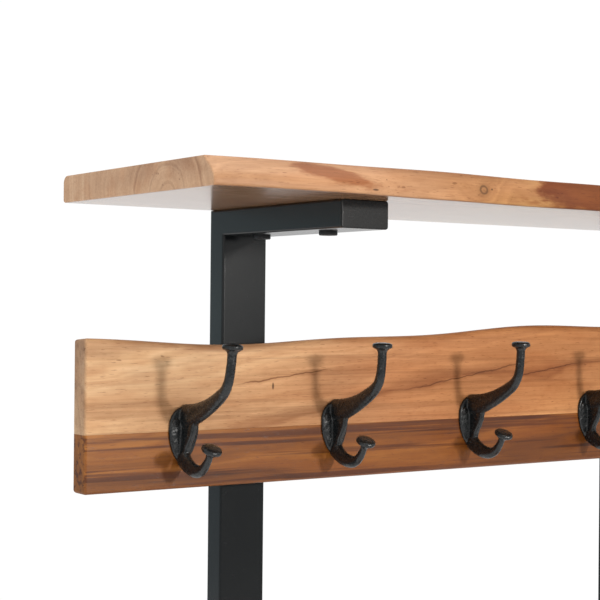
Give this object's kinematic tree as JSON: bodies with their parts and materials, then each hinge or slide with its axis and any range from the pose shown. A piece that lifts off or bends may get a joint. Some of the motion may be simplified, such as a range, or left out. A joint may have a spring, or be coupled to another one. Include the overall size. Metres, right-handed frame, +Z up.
{
  "type": "hall tree",
  "caption": "Freestanding hall tree: welded tube side frames, live-edge shelf, glued board with cast double coat hooks, and a bench seat.",
  "frame": {"origin": "on the floor under the middle of the piece", "axes": "+Z up, front faces -Y, width along X"},
  "size_m": [0.914, 0.41, 1.829],
  "materials": {
    "black_steel_tube": "satin black powder coat",
    "black_plastic_cap": "matt moulded plastic",
    "shelf_wood": "clear semi-gloss lacquer over acacia",
    "light_board_wood": "clear semi-gloss lacquer over light acacia",
    "dark_board_wood": "clear semi-gloss lacquer over dark acacia",
    "black_cast_iron": "rough casting with worn black paint",
    "black_screws": "black oxide",
    "black_bolts": "black oxide",
    "brass_inserts": "machined",
    "zinc_steel": "bright zinc plate",
    "foot_pad_plastic": "moulded nylon"
  },
  "bodies": {
    "frame": {"post_left": "black_steel_tube", "post_right": "black_steel_tube", "shelf_arm_left": "black_steel_tube", "shelf_arm_right": "black_steel_tube", "seat_bearer_left": "black_steel_tube", "seat_bearer_right": "black_steel_tube", "front_leg_left": "black_steel_tube", "front_leg_right": "black_steel_tube", "floor_runner_left": "black_steel_tube", "floor_runner_right": "black_steel_tube", "arm_end_cap_left": "black_plastic_cap", "arm_end_cap_right": "black_plastic_cap", "top_shelf": "shelf_wood", "hook_board_upper_stave": "light_board_wood", "hook_board_lower_stave": "dark_board_wood", "seat_front_stave": "light_board_wood", "seat_middle_stave": "dark_board_wood", "seat_rear_stave": "light_board_wood", "hook_1": "black_cast_iron", "hook_2": "black_cast_iron", "hook_3": "black_cast_iron", "hook_4": "black_cast_iron", "hook_5": "black_cast_iron", "hook_screws": "black_screws", "shelf_bolts": "black_bolts", "board_bolts": "black_bolts", "seat_bolts": "black_bolts", "shelf_inserts": "brass_inserts", "board_inserts": "brass_inserts", "seat_inserts": "brass_inserts", "foot_inserts": "zinc_steel"},
    "pad_front_left": {"foot_pad_front_left": "foot_pad_plastic"},
    "stud_front_left": {"foot_stud_front_left": "zinc_steel"},
    "pad_front_right": {"foot_pad_front_right": "foot_pad_plastic"},
    "stud_front_right": {"foot_stud_front_right": "zinc_steel"},
    "pad_rear_left": {"foot_pad_rear_left": "foot_pad_plastic"},
    "stud_rear_left": {"foot_stud_rear_left": "zinc_steel"},
    "pad_rear_right": {"foot_pad_rear_right": "foot_pad_plastic"},
    "stud_rear_right": {"foot_stud_rear_right": "zinc_steel"}
  },
  "joints": [
    {"name": "foot_travel_front_left", "type": "slide", "parent": "frame", "child": "pad_front_left", "axis": [0, 0, -1], "range_m": [0, 0.01]},
    {"name": "foot_turn_front_left", "type": "hinge", "parent": "pad_front_left", "child": "stud_front_left", "pos_m": [-0.2726, -0.143, 0.02], "axis": [0, 0, 1], "range_deg": [0, 2880]},
    {"name": "foot_travel_front_right", "type": "slide", "parent": "frame", "child": "pad_front_right", "axis": [0, 0, -1], "range_m": [0, 0.01]},
    {"name": "foot_turn_front_right", "type": "hinge", "parent": "pad_front_right", "child": "stud_front_right", "pos_m": [0.2726, -0.143, 0.02], "axis": [0, 0, 1], "range_deg": [0, 2880]},
    {"name": "foot_travel_rear_left", "type": "slide", "parent": "frame", "child": "pad_rear_left", "axis": [0, 0, -1], "range_m": [0, 0.01]},
    {"name": "foot_turn_rear_left", "type": "hinge", "parent": "pad_rear_left", "child": "stud_rear_left", "pos_m": [-0.2726, 0.169, 0.02], "axis": [0, 0, 1], "range_deg": [0, 2880]},
    {"name": "foot_travel_rear_right", "type": "slide", "parent": "frame", "child": "pad_rear_right", "axis": [0, 0, -1], "range_m": [0, 0.01]},
    {"name": "foot_turn_rear_right", "type": "hinge", "parent": "pad_rear_right", "child": "stud_rear_right", "pos_m": [0.2726, 0.169, 0.02], "axis": [0, 0, 1], "range_deg": [0, 2880]}
  ],
  "couplings": [
    {"joint": "foot_travel_front_left", "follows": "foot_turn_front_left", "m_per_rad": 0.00019894},
    {"joint": "foot_travel_front_right", "follows": "foot_turn_front_right", "m_per_rad": 0.00019894},
    {"joint": "foot_travel_rear_left", "follows": "foot_turn_rear_left", "m_per_rad": 0.00019894},
    {"joint": "foot_travel_rear_right", "follows": "foot_turn_rear_right", "m_per_rad": 0.00019894}
  ]
}
